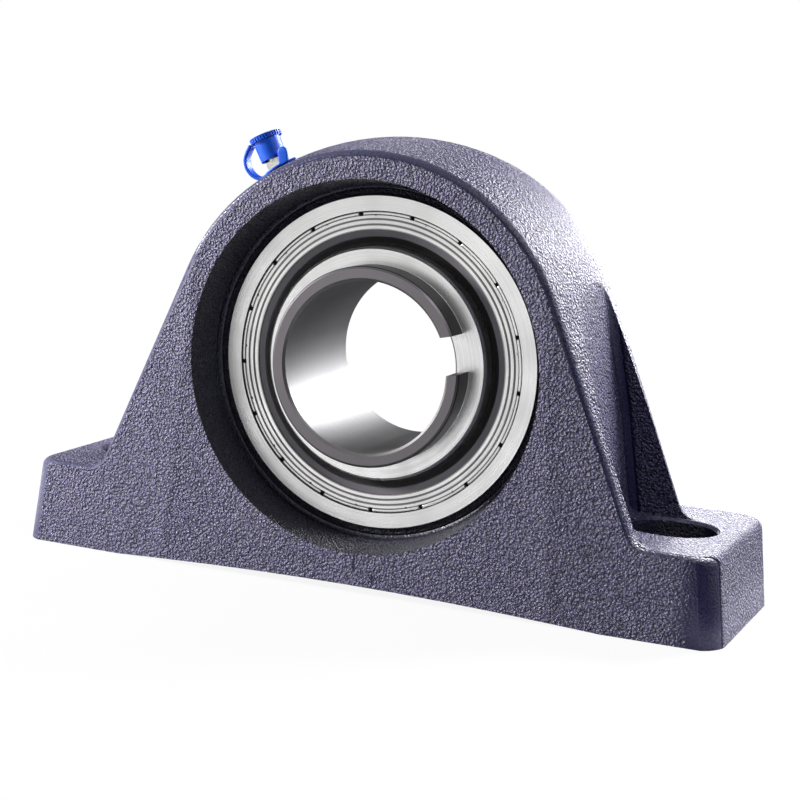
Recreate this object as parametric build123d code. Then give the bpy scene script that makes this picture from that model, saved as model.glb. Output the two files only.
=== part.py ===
from build123d import *
from math import cos, pi, radians, sin, sqrt, tan
import os

# A two-bolt pillow block: a cast housing that holds a ball bearing insert in a spherical seat.
# All sizes are in millimetres. X runs along the base, Y along the shaft and Z up. The front is the -Y side.
# The pieces are modelled with Y counted from the bearing's middle plane. Written, they are moved
# so that the origin lies in the middle of the base, on the underside.

# Housing casting
centre_height = 72.0
base_length = 241.5
base_width = 74.0
body_width = 56.5
foot_thickness = 28.0
foot_end_draft = 7.0
foot_corner_radius = 10.0
foot_fillet = 6.5
outline_radius = 67.5
rear_rise = 1.8
crown_rise = 4.1
flank_lean = 22.7
hub_root_height = 10.0
edge_rounding = 3.0
relief_length = 168.0
relief_height = 2.5

# Front face: a flat middle, and outer fields that are swept back from a crease
crease_at_base = 67.5
crease_lean = 4.6
face_sweep = 1.2

# Weight-saving pocket in each side, between a front and a rear rib
pocket_floor_at_foot = 77.6
pocket_floor_lean = 9.9
pocket_rib = 4.9
pocket_top_height = 107.0
pocket_top_width = 30.0
pocket_shoulder_height = 60.0
pocket_top_fillet = 12.0
pocket_shoulder_fillet = 30.0
pocket_floor_fillet = 4.0

# Slots for the holding-down bolts
slot_end_wall = 11.75
slot_width = 25.0
slot_length = 29.0
slot_chamfer = 1.0

# Spherical seat, the recess on each side of it and the rear slots that the insert goes in through
seat_clearance = 0.1
seat_width = 24.0
recess_floor_radius = 57.0
recess_mouth_radius = 59.2
recess_fillet = 2.5
loading_clearance = 0.4

# Bearing insert
ring_sphere_radius = 55.0
ring_width = 26.0
pitch_shift = 1.55
ball_diameter = 15.875
ball_count = 10
ball_play = 0.05
groove_radius = 8.2
outer_land_rise = 3.8
inner_land_drop = 5.25
inner_ring_length = 49.7
shoulder_length = 31.0
bore_radius = 27.5
collar_wall = 4.45
ring_chamfer = 0.8
drive_slot_width = 12.0
drive_slot_angle = 13.5

# Ball cage, pressed from two sheets and riveted
cage_sheet = 1.0
cage_width = 5.2
cage_ball_clearance = 0.15
rivet_diameter = 2.4
rivet_head_diameter = 4.0
rivet_head_height = 0.7

# Seal on each side: steel outer and inner washers with a rubber lip between them
seal_seat_rise = 2.1
seal_fit = 0.05
seal_sink = 0.6
outer_washer_thickness = 1.0
seal_thickness = 1.2
inner_washer_thickness = 0.6
outer_washer_width = 6.0
inner_washer_width = 7.5
seal_rim_inset = 0.9
lip_clearance = 0.1
lip_thickness = 0.95
lip_bead = 2.4
lip_bevel = 0.35
lip_reach = 1.4
step_insets = (2.7, 4.4)
step_width = 0.7
step_depth = 0.6
tab_count = 17
tab_length = 1.8
tab_notch_width = 0.8
tab_notch_depth = 0.5
first_tab_angle = 10.0

# Grease way: nipple, passage, groove round the seat and holes through the outer ring
nipple_angle = 34.5
nipple_offset = 7.5
spot_face_depth = 0.5
spot_face_radius = 7.2
thread_diameter = 6.0
thread_length = 8.0
thread_fit = 0.05
passage_diameter = 4.0
grease_groove_radius = 1.5
ring_hole_diameter = 2.6
hex_width = 7.0
hex_height = 2.6
neck_diameter = 4.6
neck_length = 3.0
head_diameter = 6.5
head_cone = 0.6
head_length = 1.2
tip_diameter = 4.0
tip_length = 1.0
chamber_diameter = 3.4
inlet_diameter = 1.8
check_ball_diameter = 2.9
spring_wire = 0.4
spring_turns = 4

# Dust cap with its strap. It sits a little cocked on the nipple's head.
cap_cock = 7.0
cap_gap = 0.7
cap_length = 6.6
cap_foot_radius = 4.3
cap_neck_radius = 4.5
cap_head_clearance = 0.35
cap_roof = 0.8
flange_radius = 5.35
flange_thickness = 1.6
flange_rib_count = 32
flange_rib_depth = 0.3
strap_ring_radius = 5.5
strap_ring_thickness = 0.8
strap_ring_fit = 0.1
strap_width = 4.0
strap_bulge = 3.7
strap_band = 1.0
strap_end_gap = 0.2
tongue_width = 3.2
tongue_length = 4.0
tongue_thickness = 1.0
tongue_lean = 23.0
tongue_place = 2.7

# Worked out from the sizes above
half_width = body_width / 2
base_rear = base_width - half_width
base_middle = base_rear - base_width / 2
slot_end = base_length / 2 - slot_end_wall
bolt_spacing = 2 * slot_end - slot_length
rear_outline_radius = outline_radius + rear_rise
crown_radius = outline_radius + crown_rise
nipple_seat_radius = crown_radius - spot_face_depth
pitch_radius = (ring_sphere_radius + bore_radius) / 2 + pitch_shift
outer_land_radius = pitch_radius + outer_land_rise
inner_land_radius = pitch_radius - inner_land_drop
collar_radius = bore_radius + collar_wall
cage_inner_radius = pitch_radius - cage_width / 2
cage_outer_radius = pitch_radius + cage_width / 2
seal_seat_radius = outer_land_radius + seal_seat_rise
outer_washer_bore = seal_seat_radius - outer_washer_width
inner_washer_bore = seal_seat_radius - inner_washer_width
seal_rim_radius = seal_seat_radius - seal_rim_inset
tab_inner_radius = seal_seat_radius - tab_length
half_ring = ring_width / 2
ball_radius = ball_diameter / 2
bearing_centre = Location((0, 0, centre_height))
bearing_section = Plane.XY.offset(centre_height)
shaft_axis = Axis((0, 0, centre_height), (0, 1, 0))
seat_radius = ring_sphere_radius + seat_clearance
nipple_plane = Plane(
    origin=(-nipple_seat_radius * sin(radians(nipple_angle)), -nipple_offset,
            centre_height + nipple_seat_radius * cos(radians(nipple_angle))),
    x_dir=(cos(radians(nipple_angle)), 0, sin(radians(nipple_angle))),
    z_dir=(-sin(radians(nipple_angle)), 0, cos(radians(nipple_angle))),
)
hex_top = strap_ring_thickness + hex_height
head_base = hex_top + neck_length + head_cone
head_top = head_base + head_length
nipple_top = head_top + tip_length
cap_pivot = Pos(0, 0, head_base + head_length / 2)
cap_base = hex_top + cap_gap
cap_place = nipple_plane * cap_pivot * Rot(0, cap_cock, 0) * cap_pivot.inverse()


def turned(outline):
    # A ring turned about the shaft from its section, given as (radius, Y) points.
    return revolve(bearing_section * make_face(Polyline(*outline, close=True)), axis=shaft_axis)


def around_shaft(angle):
    # Turns a piece about the shaft, upwards from +X as seen from the front.
    return bearing_centre * Rot(0, -angle, 0)


def hub_blank():
    # The arch: a crowned, drafted section swept up one flank, round the bearing and down the other flank.
    lean = radians(flank_lean)
    path_radius = recess_mouth_radius
    out = Vector(cos(lean), 0, sin(lean))
    shoulder = Vector(0, 0, centre_height) + out * path_radius
    run = (shoulder.Z - hub_root_height) / cos(lean)
    root = shoulder + Vector(sin(lean), 0, -cos(lean)) * run
    left_shoulder = Vector(-shoulder.X, 0, shoulder.Z)
    left_root = Vector(-root.X, 0, root.Z)
    top = Vector(0, 0, centre_height + path_radius)
    path = Line(root, shoulder) + ThreePointArc(shoulder, top, left_shoulder)
    path += Line(left_shoulder, left_root)

    front = outline_radius - path_radius
    middle = crown_radius - path_radius
    rear = rear_outline_radius - path_radius
    section = make_face(
        Polyline((front, -half_width), (-front, -half_width), (-front, half_width), (rear, half_width))
        + ThreePointArc((rear, half_width), (middle, 0), (front, -half_width))
    )
    section_plane = Plane(origin=root, x_dir=out, z_dir=shoulder - root)
    arch = sweep(section_plane * section, path=path)

    core_outline = Plane.XZ * make_face(
        ThreePointArc((shoulder.X, shoulder.Z), (0, top.Z), (left_shoulder.X, left_shoulder.Z))
        + Polyline((left_shoulder.X, left_shoulder.Z), (left_root.X, left_root.Z), (left_root.X, relief_height),
                   (root.X, relief_height), (root.X, root.Z), (shoulder.X, shoulder.Z))
    )
    hub = arch + extrude(core_outline, amount=half_width, both=True)
    rear_rim = hub.edges().filter_by(
        lambda e: abs(e.center().Y - half_width) < 0.5 and e.center().Z > foot_thickness
    )
    return fillet(rear_rim, edge_rounding)


def foot_blank():
    # The base: drafted ends, and a shallow arch below that leaves a pad under each foot.
    bottom = base_length / 2
    top = bottom - foot_thickness * tan(radians(foot_end_draft))
    pad = relief_length / 2
    outline = Plane.XZ.offset(half_width) * make_face(
        ThreePointArc((-pad, 0), (0, relief_height), (pad, 0))
        + Polyline((pad, 0), (bottom, 0), (top, foot_thickness), (-top, foot_thickness), (-bottom, 0), (-pad, 0))
    )
    return extrude(outline, amount=-base_width)


def sweep_face_back(body, side):
    # Cuts one outer field of the front face back to a plane that starts at the crease.
    lean = radians(crease_lean)
    sweep_angle = radians(face_sweep)
    crease = Vector(-side * sin(lean), 0, cos(lean))
    outwards = Vector(side * cos(sweep_angle), sin(sweep_angle), 0)
    normal = crease.cross(outwards)
    if normal.Y > 0:
        normal = normal * -1
    field = Plane(origin=(side * crease_at_base, -half_width, 0), z_dir=normal)
    return split(body, bisect_by=field, keep=Keep.BOTTOM)


def pocket_tool():
    # The space of the right-hand pocket: an arch-headed prism with a sloping, rounded floor.
    bottom_half = half_width - pocket_rib
    top_half = pocket_top_width / 2
    head = pocket_top_height - foot_thickness
    shoulder = pocket_shoulder_height - foot_thickness
    outline = make_face(Polyline(
        (-bottom_half, 0), (bottom_half, 0), (bottom_half, shoulder), (top_half, head),
        (-top_half, head), (-bottom_half, shoulder), close=True,
    ))
    corners = outline.vertices().group_by(Axis.Y)
    outline = fillet(corners[1], pocket_shoulder_fillet)
    outline = fillet(outline.vertices().group_by(Axis.Y)[-1], pocket_top_fillet)
    section = Plane(origin=(0, 0, foot_thickness), x_dir=(0, 1, 0), z_dir=(1, 0, 0))
    prism = extrude(section * outline, amount=base_length)
    lean = radians(pocket_floor_lean)
    floor_plane = Plane(origin=(pocket_floor_at_foot, 0, foot_thickness), z_dir=(cos(lean), 0, sin(lean)))
    space = split(prism, bisect_by=floor_plane, keep=Keep.TOP)
    floor = space.faces().sort_by(Axis.X)[0]
    return fillet(floor.edges(), pocket_floor_fillet)


def bolt_slot_tool():
    # A slot through the right foot, with a chamfered mouth. It also clears the pocket's lower fillet.
    mouth = Plane.XY.offset(foot_thickness)
    straight = extrude(Plane.XY * SlotOverall(slot_length, slot_width), amount=foot_thickness + pocket_floor_fillet)
    wide = SlotOverall(slot_length + 2 * slot_chamfer, slot_width + 2 * slot_chamfer)
    chamfer_cut = extrude(mouth * wide, amount=-slot_chamfer, taper=45)
    return Pos(bolt_spacing / 2, base_middle, 0) * (straight + chamfer_cut)


def recess_tool(face):
    # The flared recess beside the seat. At the rear it runs on through the base.
    floor = seat_width / 2
    profile = make_face(Polyline(
        (0, floor), (recess_floor_radius, floor), (recess_mouth_radius, half_width), (0, half_width), close=True,
    ))
    corner = profile.vertices().sort_by(Axis.Y)[:2].sort_by(Axis.X)[-1]
    profile = fillet(corner, recess_fillet)
    space = revolve(bearing_section * profile, axis=shaft_axis)
    if face < 0:
        return mirror(space, about=Plane.XZ)
    depth = base_rear - half_width
    through = Rot(90, 0, 0) * Cylinder(recess_mouth_radius, depth)
    return space + bearing_centre * Pos(0, half_width + depth / 2, 0) * through


def housing():
    body = hub_blank() + foot_blank()
    level = body.edges().filter_by(lambda e: abs(e.center().Z - foot_thickness) < 0.01)
    roots = level.filter_by(is_root_edge)
    body = fillet(roots, foot_fillet)
    posts = body.edges().filter_by(
        lambda e: abs(e.center().X) > slot_end and 1 < e.center().Z < foot_thickness - 1
    )
    body = fillet(posts, foot_corner_radius)
    body = fillet(body.edges().filter_by(is_outline_edge), edge_rounding)
    for side in (1, -1):
        body = sweep_face_back(body, side)

    pocket = pocket_tool()
    slot = bolt_slot_tool()
    body -= pocket
    body -= mirror(pocket, about=Plane.YZ)
    body -= slot
    body -= mirror(slot, about=Plane.YZ)
    body -= recess_tool(1)
    body -= recess_tool(-1)
    body -= bearing_centre * Sphere(seat_radius)
    body -= loading_slots()
    body -= nipple_plane * Pos(0, 0, spot_face_radius / 2) * Cylinder(spot_face_radius, spot_face_radius)
    return body - grease_way()


def is_root_edge(edge):
    # Edges where the hub's flanks and rear face stand on the base's top.
    place = edge.center()
    return place.Y > 1 - half_width and place.Y < base_rear - 1 and abs(place.X) < slot_end


def is_outline_edge(edge):
    # Edges between the outside of the arch and the front face, and round the base's top.
    place = edge.center()
    on_face = place.Y < 1 - half_width and place.Z > foot_thickness - 1
    on_top = abs(place.Z - foot_thickness) < 0.5
    return on_face or (on_top and (abs(place.X) > slot_end or place.Y > base_rear - 1))


def loading_slots():
    # Two slots from the rear recess to the middle of the seat. The insert goes in turned crosswise.
    depth = seat_width / 2
    slab = Box(2 * seat_radius + 2, depth, ring_width + 2 * loading_clearance)
    bore = Rot(-90, 0, 0) * Cylinder(seat_radius + loading_clearance / 2, depth)
    return bearing_centre * Pos(0, depth / 2, 0) * (slab & bore)


def grease_way():
    # Threaded hole and passage below the nipple, and the groove that they feed round the seat.
    hole_radius = thread_diameter / 2 + thread_fit
    hole_depth = thread_length + 1
    wall = nipple_seat_radius - ring_sphere_radius
    hole = Pos(0, 0, -hole_depth / 2) * Cylinder(hole_radius, hole_depth)
    passage = Pos(0, 0, -wall / 2) * Cylinder(passage_diameter / 2, wall)
    groove_centre = sqrt(seat_radius ** 2 - nipple_offset ** 2)
    groove = bearing_centre * Pos(0, -nipple_offset, 0) * Rot(90, 0, 0) * Torus(groove_centre, grease_groove_radius)
    return nipple_plane * (hole + passage) + groove


def race_edge(centre_radius, land_radius):
    # How far from the bearing's middle the ball groove runs out on its land.
    return sqrt(groove_radius ** 2 - (land_radius - centre_radius) ** 2)


def outer_ring():
    race_centre = pitch_radius + ball_radius + ball_play - groove_radius
    edge = race_edge(race_centre, outer_land_radius)
    face_radius = sqrt(ring_sphere_radius ** 2 - half_ring ** 2)
    seal_floor = half_ring - seal_depth()
    section = make_face(
        ThreePointArc((face_radius, -half_ring), (ring_sphere_radius, 0), (face_radius, half_ring))
        + Polyline((face_radius, half_ring), (seal_seat_radius, half_ring), (seal_seat_radius, seal_floor),
                   (outer_land_radius, seal_floor), (outer_land_radius, edge))
        + ThreePointArc((outer_land_radius, edge), (race_centre + groove_radius, 0), (outer_land_radius, -edge))
        + Polyline((outer_land_radius, -edge), (outer_land_radius, -seal_floor), (seal_seat_radius, -seal_floor),
                   (seal_seat_radius, -half_ring), (face_radius, -half_ring))
    )
    ring = revolve(bearing_section * section, axis=shaft_axis)
    drill = Cylinder(ring_hole_diameter / 2, 2 * ring_sphere_radius + 2)
    return ring - bearing_centre * Rot(0, -nipple_angle, 0) * Pos(0, -nipple_offset, 0) * drill


def inner_ring():
    race_centre = pitch_radius - ball_radius - ball_play + groove_radius
    edge = race_edge(race_centre, inner_land_radius)
    end = inner_ring_length / 2
    shoulder = shoulder_length / 2
    c = ring_chamfer
    rear = [
        (inner_land_radius, edge), (inner_land_radius, shoulder - c), (inner_land_radius - c, shoulder),
        (collar_radius, shoulder), (collar_radius, end - c), (collar_radius - c, end),
        (bore_radius + c, end), (bore_radius, end - c),
    ]
    front = [(radius, -y) for radius, y in reversed(rear)]
    section = make_face(
        Polyline(*rear, *front)
        + ThreePointArc((inner_land_radius, -edge), (race_centre - groove_radius, 0), (inner_land_radius, edge))
    )
    ring = revolve(bearing_section * section, axis=shaft_axis)
    reach = collar_radius - bore_radius + 2 * drive_slot_width
    cut = Pos(bore_radius - drive_slot_width + reach / 2, -(shoulder + end + 1) / 2, 0)
    cut = cut * Box(reach, end + 1 - shoulder, drive_slot_width)
    return ring - around_shaft(drive_slot_angle) * cut


def ball(number):
    angle = 360 / ball_count * number
    return around_shaft(angle) * Pos(pitch_radius, 0, 0) * Sphere(ball_radius)


def cage_half_rear():
    # A flat ring with a cup pressed round each ball. The halves meet in the bearing's middle plane.
    pocket = ball_radius + cage_ball_clearance
    reach = pocket + 2 * cage_sheet
    middle = (cage_inner_radius + cage_outer_radius) / 2
    band = turned([(cage_inner_radius, 0), (cage_outer_radius, 0),
                   (cage_outer_radius, reach), (cage_inner_radius, reach)])
    sheet = turned([(cage_inner_radius, 0), (cage_outer_radius, 0),
                    (cage_outer_radius, cage_sheet), (cage_inner_radius, cage_sheet)])
    seats = [around_shaft(360 / ball_count * n) * Pos(pitch_radius, 0, 0) for n in range(ball_count)]
    cups = [seat * Sphere(pocket + cage_sheet) for seat in seats]
    half = sheet + (band & cups[0])
    for cup in cups[1:]:
        half += band & cup
    half -= [seat * Sphere(pocket) for seat in seats]
    hole = Rot(90, 0, 0) * Cylinder(rivet_diameter / 2 + seal_fit, 4 * cage_sheet)
    half -= [rivet_seat(n, middle) * hole for n in range(ball_count)]
    return half


def rivet_seat(number, radius):
    return around_shaft(360 / ball_count * (number + 0.5)) * Pos(radius, 0, 0)


def cage_rivets():
    middle = (cage_inner_radius + cage_outer_radius) / 2
    shank = Cylinder(rivet_diameter / 2, 2 * cage_sheet)
    head = Cylinder(rivet_head_diameter / 2, rivet_head_height)
    offset = cage_sheet + rivet_head_height / 2
    rivet = Rot(90, 0, 0) * (shank + Pos(0, 0, offset) * head + Pos(0, 0, -offset) * head)
    return Compound([rivet_seat(n, middle) * rivet for n in range(ball_count)])


def seal_depth():
    return seal_sink + outer_washer_thickness + seal_thickness + inner_washer_thickness


def on_side(outline, face):
    # Section points given as (radius, depth below the outer ring's side face), for either side.
    return [(radius, face * (half_ring - depth)) for radius, depth in outline]


def outer_washer(face):
    # The shield: two pressed steps, and a rim that is notched into staking tabs.
    rim = seal_seat_radius - seal_fit
    top = seal_sink
    bottom = seal_sink + outer_washer_thickness
    outline = [(outer_washer_bore, bottom), (rim, bottom), (rim, top)]
    for inset in step_insets:
        outer = seal_seat_radius - inset + step_width / 2
        inner = outer - step_width
        outline += [(outer, top), (outer, top + step_depth), (inner, top + step_depth), (inner, top)]
    outline.append((outer_washer_bore, top))
    washer = turned(on_side(outline, face))
    length = seal_seat_radius - tab_inner_radius
    notch = Box(length, 2 * tab_notch_depth, tab_notch_width)
    place = Pos((seal_seat_radius + tab_inner_radius) / 2, face * (half_ring - top), 0)
    return washer - [around_shaft(first_tab_angle + 360 / tab_count * n) * place * notch for n in range(tab_count)]


def inner_washer(face):
    top = seal_depth() - inner_washer_thickness
    rim = seal_seat_radius - seal_fit
    outline = [(inner_washer_bore, top), (rim, top), (rim, seal_depth()), (inner_washer_bore, seal_depth())]
    return turned(on_side(outline, face))


def seal_lip(face):
    # Rubber held between the washers. It has a bead in the shield's bore and a lip on the inner ring.
    top = seal_sink + outer_washer_thickness
    bottom = top + seal_thickness
    bead = outer_washer_bore - seal_fit
    bead_inner = bead - lip_bead
    tip = inner_land_radius + lip_clearance
    outline = [
        (seal_rim_radius, top), (bead, top), (bead, top - outer_washer_thickness / 2),
        (bead_inner + lip_bevel, top - outer_washer_thickness / 3), (bead_inner, top + seal_thickness / 3),
        (tip + lip_thickness, bottom + lip_bevel), (tip, bottom + lip_reach / 2), (tip, bottom + lip_reach),
        (tip + lip_thickness, bottom + lip_reach), (inner_washer_bore - lip_bevel, bottom),
        (seal_rim_radius, bottom),
    ]
    return turned(on_side(outline, face))


def column(points):
    # A piece turned about the nipple's axis from (radius, height) points above the hub.
    section = Plane.XZ * make_face(Polyline(*points, close=True))
    return revolve(section, axis=Axis.Z)


def nipple_body():
    thread = thread_diameter / 2
    chamber = chamber_diameter / 2
    inlet = inlet_diameter / 2
    chamber_top = nipple_top - tip_length
    body = column([
        (0, -thread_length), (thread, -thread_length), (thread, strap_ring_thickness),
        (neck_diameter / 2, strap_ring_thickness), (neck_diameter / 2, hex_top + neck_length),
        (head_diameter / 2, head_base), (head_diameter / 2, head_top), (tip_diameter / 2, nipple_top),
        (0, nipple_top),
    ])
    hexagon = RegularPolygon(hex_width / 2, 6, major_radius=False)
    body += extrude(Pos(0, 0, strap_ring_thickness) * hexagon, amount=hex_height)
    body -= column([
        (0, -thread_length), (inlet, -thread_length), (inlet, 0), (chamber, 0), (chamber, chamber_top - chamber + inlet),
        (inlet, chamber_top), (inlet, nipple_top), (0, nipple_top),
    ])
    return nipple_plane * body


def check_ball_height():
    # The ball rests in the 45 degree cone below the inlet.
    chamber_top = nipple_top - tip_length
    apex = chamber_top + inlet_diameter / 2
    return apex - check_ball_diameter / 2 * sqrt(2) - seal_fit


def nipple_ball():
    return nipple_plane * Pos(0, 0, check_ball_height()) * Sphere(check_ball_diameter / 2)


def nipple_spring():
    # A helix from the chamber's floor to just below the ball.
    low = spring_wire / 2 + seal_fit
    coil = (check_ball_diameter - spring_wire) / 2 - 2 * seal_fit
    contact = sqrt((check_ball_diameter / 2 + spring_wire / 2) ** 2 - coil ** 2)
    high = check_ball_height() - contact - seal_fit
    path = Pos(0, 0, low) * Helix(pitch=(high - low) / spring_turns, height=high - low, radius=coil)
    wire = Plane(origin=path @ 0, z_dir=path % 0) * Circle(spring_wire / 2)
    return nipple_plane * sweep(wire, path=path, is_frenet=True)


def dust_cap():
    top = cap_base + cap_length
    inside = head_diameter / 2 + cap_head_clearance
    cap = column([(0, cap_base), (cap_foot_radius, cap_base), (cap_neck_radius, top), (0, top)])
    points = []
    for n in range(flange_rib_count):
        for share, radius in ((0, flange_radius), (0.5, flange_radius), (0.75, flange_radius - flange_rib_depth)):
            angle = 2 * pi * (n + share) / flange_rib_count
            points.append((radius * cos(angle), radius * sin(angle)))
    cap += extrude(Pos(0, 0, top) * make_face(Polyline(*points, close=True)), amount=flange_thickness)
    depth = cap_length - cap_roof
    cap -= Pos(0, 0, cap_base + depth / 2) * Cylinder(inside, depth)
    return cap_place * cap


def cap_strap():
    # Ring under the nipple's hexagon, a strap that loops up to the cap's flange, and a pull tongue.
    ring = column([
        (thread_diameter / 2 + strap_ring_fit, 0), (strap_ring_radius, 0),
        (strap_ring_radius, strap_ring_thickness), (thread_diameter / 2 + strap_ring_fit, strap_ring_thickness),
    ])
    cock = radians(cap_cock)
    pivot = head_base + head_length / 2
    low = cap_base + cap_length - pivot
    reach = flange_radius + strap_end_gap
    inner_end = (-reach * cos(cock) + low * sin(cock), pivot + reach * sin(cock) + low * cos(cock))
    high = low + flange_thickness
    outer_end = (-reach * cos(cock) + high * sin(cock), pivot + reach * sin(cock) + high * cos(cock))
    root = -strap_ring_radius + strap_ring_thickness
    middle = outer_end[1] / 2
    bulge = -strap_ring_radius - strap_bulge
    band = Plane.XZ * make_face(
        ThreePointArc((root, 0), (bulge, middle), outer_end)
        + Line(outer_end, inner_end)
        + ThreePointArc(inner_end, (bulge + strap_band, middle), (root, strap_ring_thickness))
        + Line((root, strap_ring_thickness), (root, 0))
    )
    strap = extrude(band, amount=strap_width / 2, both=True)
    tongue_foot = Pos(tongue_place, 0, strap_ring_thickness / 2)
    tongue = extrude(Plane.XZ * Rot(0, 0, 90 - tongue_lean) * Pos(tongue_length / 2, 0, 0)
                     * SlotCenterToCenter(tongue_length, tongue_width), amount=tongue_thickness)
    tongue = tongue_foot * Pos(0, -cap_neck_radius, 0) * tongue
    below = 4 * strap_ring_radius
    floor = Pos(0, 0, -tongue_width) * Box(below, below, 2 * tongue_width)
    return nipple_plane * (ring + strap + (tongue - floor))


def write(shape, name):
    # Moves a piece from the bearing's middle plane to the base's, and writes it.
    export_step(Pos(0, -base_middle, 0) * shape, os.path.join("parts", name + ".step"))


os.makedirs("parts", exist_ok=True)
write(housing(), "housing")
write(outer_ring(), "outer_ring")
write(inner_ring(), "inner_ring")
for n in range(ball_count):
    write(ball(n), f"ball_{n + 1:02d}")
write(mirror(cage_half_rear(), about=Plane.XZ), "cage_half_front")
write(cage_half_rear(), "cage_half_rear")
write(cage_rivets(), "cage_rivets")
for name, face in (("front", -1), ("rear", 1)):
    write(outer_washer(face), name + "_outer_washer")
    write(inner_washer(face), name + "_inner_washer")
    write(seal_lip(face), name + "_seal_lip")
write(nipple_body(), "nipple_body")
write(nipple_ball(), "nipple_ball")
write(nipple_spring(), "nipple_spring")
write(dust_cap(), "dust_cap")
write(cap_strap(), "cap_strap")
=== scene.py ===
import math

import bmesh
import bpy
import numpy as np
from mathutils import Euler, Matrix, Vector


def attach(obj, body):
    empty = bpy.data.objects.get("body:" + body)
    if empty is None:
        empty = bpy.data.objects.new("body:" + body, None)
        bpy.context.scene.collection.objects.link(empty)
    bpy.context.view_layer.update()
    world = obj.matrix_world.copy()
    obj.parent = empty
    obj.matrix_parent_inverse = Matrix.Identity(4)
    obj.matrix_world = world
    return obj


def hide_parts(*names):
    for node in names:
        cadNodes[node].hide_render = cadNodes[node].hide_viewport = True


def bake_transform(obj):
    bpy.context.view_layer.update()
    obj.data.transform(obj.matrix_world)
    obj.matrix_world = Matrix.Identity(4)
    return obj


# A cast pillow block with a sealed ball bearing insert and a capped grease nipple.
# Everything is in metres. X runs along the base, Y along the shaft, Z up, and the front is at -Y.
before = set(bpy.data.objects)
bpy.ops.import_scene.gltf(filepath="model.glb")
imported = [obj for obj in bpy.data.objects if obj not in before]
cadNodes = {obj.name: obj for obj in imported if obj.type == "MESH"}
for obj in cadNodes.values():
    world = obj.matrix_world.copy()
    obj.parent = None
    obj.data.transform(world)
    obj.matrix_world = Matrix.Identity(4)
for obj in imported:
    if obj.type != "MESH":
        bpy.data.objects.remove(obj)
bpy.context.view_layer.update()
bearingHeight = 0.072  # the shaft's axis above the underside
bearingMiddle = -0.00875  # the bearing's middle plane along Y


# Camera and studio

view = {
    "place": (0.24457, -0.61545, 0.16962),
    "turnDegrees": (80.3484, -3.5367, 22.2979),
    "lens": 91.494,
    "sensor": 36.0,
}

lamps = [
    # name, place, aimed at, width, height, watts, colour
    ("frontCard", (-0.58, -0.205, 0.25), (-0.03, 0.0, 0.06), 0.13, 0.13, 10.8, (1.0, 0.985, 0.97)),
    ("frontFill", (-0.10, -1.20, 0.50), (0.0, 0.0, 0.06), 0.7, 0.7, 0.1, (1.0, 0.99, 0.98)),
    ("pocketFill", (0.55, -0.30, 0.80), (0.09, 0.01, 0.06), 0.20, 0.20, 3.4, (0.98, 0.98, 1.0)),
    ("rightFill", (0.85, 0.24, 0.34), (0.10, 0.0, 0.04), 0.25, 0.25, 0.6, (0.97, 0.97, 1.0)),
    ("footCard", (0.02, 0.32, 0.10), (0.10, 0.0, 0.028), 0.14, 0.08, 0.55, (0.97, 0.965, 1.0)),
    ("glareCard", (0.15, 0.40, 0.23), (0.05, 0.0, 0.12), 0.20, 0.12, 1.6, (0.97, 0.965, 1.0)),
    ("backGlare", (0.30, 0.37, 0.36), (0.06, 0.0, 0.07), 0.22, 0.22, 7.5, (0.97, 0.965, 1.0)),
]

flags = [
    # Black cards out of the picture, which keep the white room out of some reflections.
    # name, corners
    ("rightFlag", [(0.36, -0.75, 0.0), (0.36, 0.02, 0.0), (0.36, 0.02, 0.45), (0.36, -0.75, 0.45)]),
    ("rightFloorFlag",
     [(0.128, -0.55, 0.004), (0.60, -0.55, 0.004), (0.60, 0.05, 0.004), (0.128, 0.05, 0.004)]),
    ("rearFlag", [(-0.20, 0.05, 0.004), (0.42, 0.05, 0.004), (0.60, 0.50, 0.004), (-0.40, 0.50, 0.004)]),
    ("topRightFlag", [(0.70, -0.90, 0.20), (0.70, 0.30, 0.20), (0.20, 0.30, 0.70), (0.20, -0.90, 0.70)]),
    ("farFlag", [(-1.20, 1.30, 0.06), (1.60, 1.30, 0.06), (1.60, 1.30, 1.30), (-1.20, 1.30, 1.30)]),
]

studio = {
    "ambient": 0.12,
    "floorColour": (0.55, 0.55, 0.56, 1.0),
    "ambientColour": (0.93, 0.94, 1.0, 1.0),
    "floorHalfSize": 12.0,
    "whiteNear": 0.16,  # metres from the part where the floor starts to turn into plain white
    "whiteFar": 0.45,
    "whiteBelow": 0.90,  # share of plain white next to the part, over which its shadow stays faint
    "mirrorNear": 0.30,  # the same two distances for reflections, which see the real floor near the part
    "mirrorFar": 0.75,
    "floorRoughness": 0.9,
    "floorSpecular": 0.1,
    "flagColour": (0.01, 0.01, 0.012, 1.0),
    "flagRoughness": 0.9,
}


def makeCamera():
    data = bpy.data.cameras.new("productCamera")
    data.lens = view["lens"]
    data.sensor_width = view["sensor"]
    data.clip_start = 0.01
    data.clip_end = 100.0
    camera = bpy.data.objects.new("productCamera", data)
    camera.location = view["place"]
    camera.rotation_euler = Euler([math.radians(a) for a in view["turnDegrees"]])
    bpy.context.scene.collection.objects.link(camera)
    bpy.context.scene.camera = camera


def makeLamps():
    for name, place, aim, width, height, watts, colour in lamps:
        data = bpy.data.lights.new(name, "AREA")
        data.shape = "RECTANGLE"
        data.size = width
        data.size_y = height
        data.energy = watts
        data.color = colour
        lamp = bpy.data.objects.new(name, data)
        lamp.location = place
        lamp.visible_camera = False
        lamp.rotation_euler = (Vector(aim) - Vector(place)).to_track_quat("-Z", "Y").to_euler()
        bpy.context.scene.collection.objects.link(lamp)


def seenDirectly(tree):
    # 1 for the camera, and 1 for a mirror reflection or clear glass, as two outputs.
    rays = tree.nodes.new("ShaderNodeLightPath")
    mirrored = addMath(tree, "MAXIMUM", rays.outputs["Is Glossy Ray"], rays.outputs["Is Transmission Ray"])
    return rays.outputs["Is Camera Ray"], mirrored


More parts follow.
